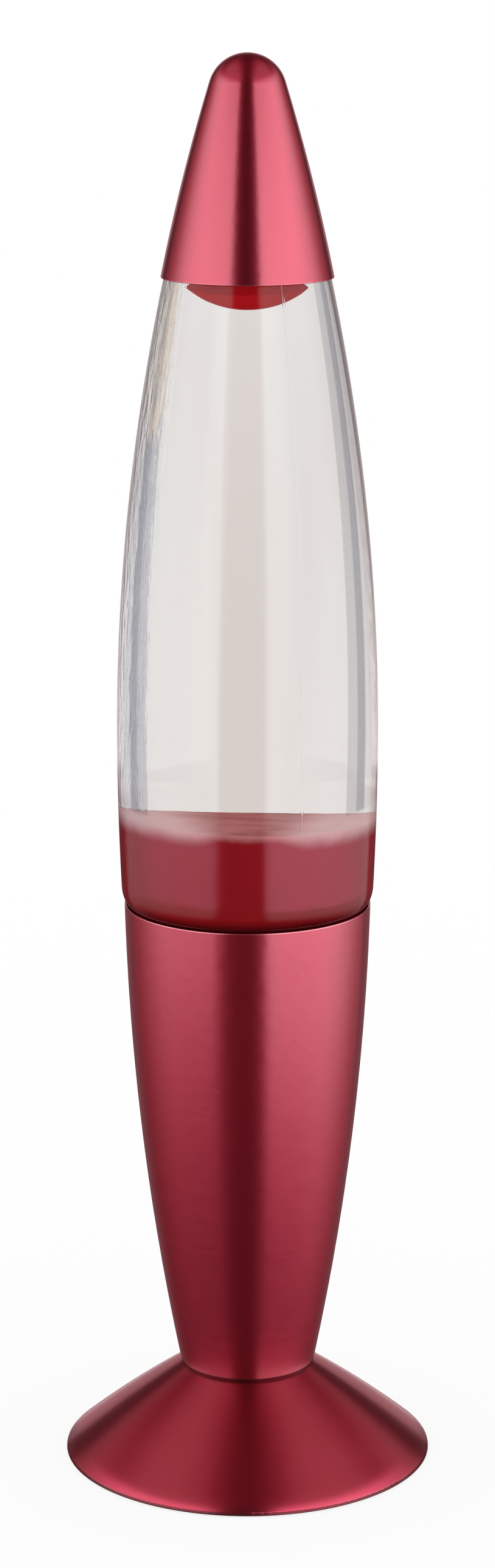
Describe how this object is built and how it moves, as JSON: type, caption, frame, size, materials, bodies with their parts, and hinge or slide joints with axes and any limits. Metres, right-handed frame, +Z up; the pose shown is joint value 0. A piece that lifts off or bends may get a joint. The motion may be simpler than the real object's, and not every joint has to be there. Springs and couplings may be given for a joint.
{
  "type": "lava lamp",
  "caption": "Slim rocket-shaped lava lamp: conical spun foot, tapered sleeve with a reflector bulb, lift-out glass bottle of clear liquid and red wax, and a pointed cap.",
  "frame": {"origin": "centre of the footprint, on the surface the pads stand on", "axes": "+Z up along the lamp's axis, -Y towards the viewer, cord inlet at +Y"},
  "size_m": [0.1106, 0.1106, 0.42],
  "materials": {
    "red_anodised_aluminium": "satin",
    "black_painted_steel": "satin",
    "black_rubber": "matte",
    "zinc_plated_steel": "satin",
    "black_bakelite": "satin",
    "white_porcelain": "satin",
    "brass": "satin",
    "nickel_plate": "satin",
    "black_glass": "gloss",
    "solder": "satin",
    "bulb_glass": "satin",
    "clear_glass": "gloss",
    "tungsten": "satin",
    "bottle_glass": "gloss",
    "spring_wire": "satin",
    "red_wax": "satin",
    "clear_liquid": "gloss",
    "white_liner": "matte",
    "tinned_steel": "satin"
  },
  "bodies": {
    "base": {"foot_shell": "red_anodised_aluminium", "bottom_plate": "black_painted_steel", "foot_pad_1": "black_rubber", "foot_pad_2": "black_rubber", "foot_pad_3": "black_rubber", "foot_pad_4": "black_rubber", "cord_grommet": "black_rubber", "nipple": "zinc_plated_steel", "nipple_washers": "zinc_plated_steel", "nipple_nuts": "zinc_plated_steel", "sleeve": "red_anodised_aluminium", "lampholder_cap": "black_bakelite", "lampholder_insert": "white_porcelain", "lampholder_terminal_screws": "brass", "lampholder_skirt": "black_bakelite", "lampholder_screw_shell": "brass", "lampholder_centre_contact": "brass"},
    "bulb": {"bulb_screw_cap": "nickel_plate", "bulb_insulator": "black_glass", "bulb_contact": "solder", "bulb_envelope": "bulb_glass", "bulb_stem": "clear_glass", "bulb_lead_wires": "nickel_plate", "bulb_filament": "tungsten"},
    "bottle": {"bottle": "bottle_glass", "wax_coil": "spring_wire", "wax": "red_wax", "floating_wax": "red_wax", "liquid": "clear_liquid", "crown_liner": "white_liner", "crown_closure": "tinned_steel"},
    "cap": {"cap": "red_anodised_aluminium"}
  },
  "joints": [
    {"name": "bottle_lift", "type": "slide", "parent": "base", "child": "bottle", "axis": [0, 0, 1], "range_m": [0, 0.12]},
    {"name": "cap_lift", "type": "slide", "parent": "bottle", "child": "cap", "axis": [0, 0, 1], "range_m": [0, 0.06]},
    {"name": "bulb_turn", "type": "hinge", "parent": "base", "child": "bulb", "pos_m": [0, 0, 0.1], "axis": [0, 0, 1], "range_deg": [0, 360]}
  ]
}
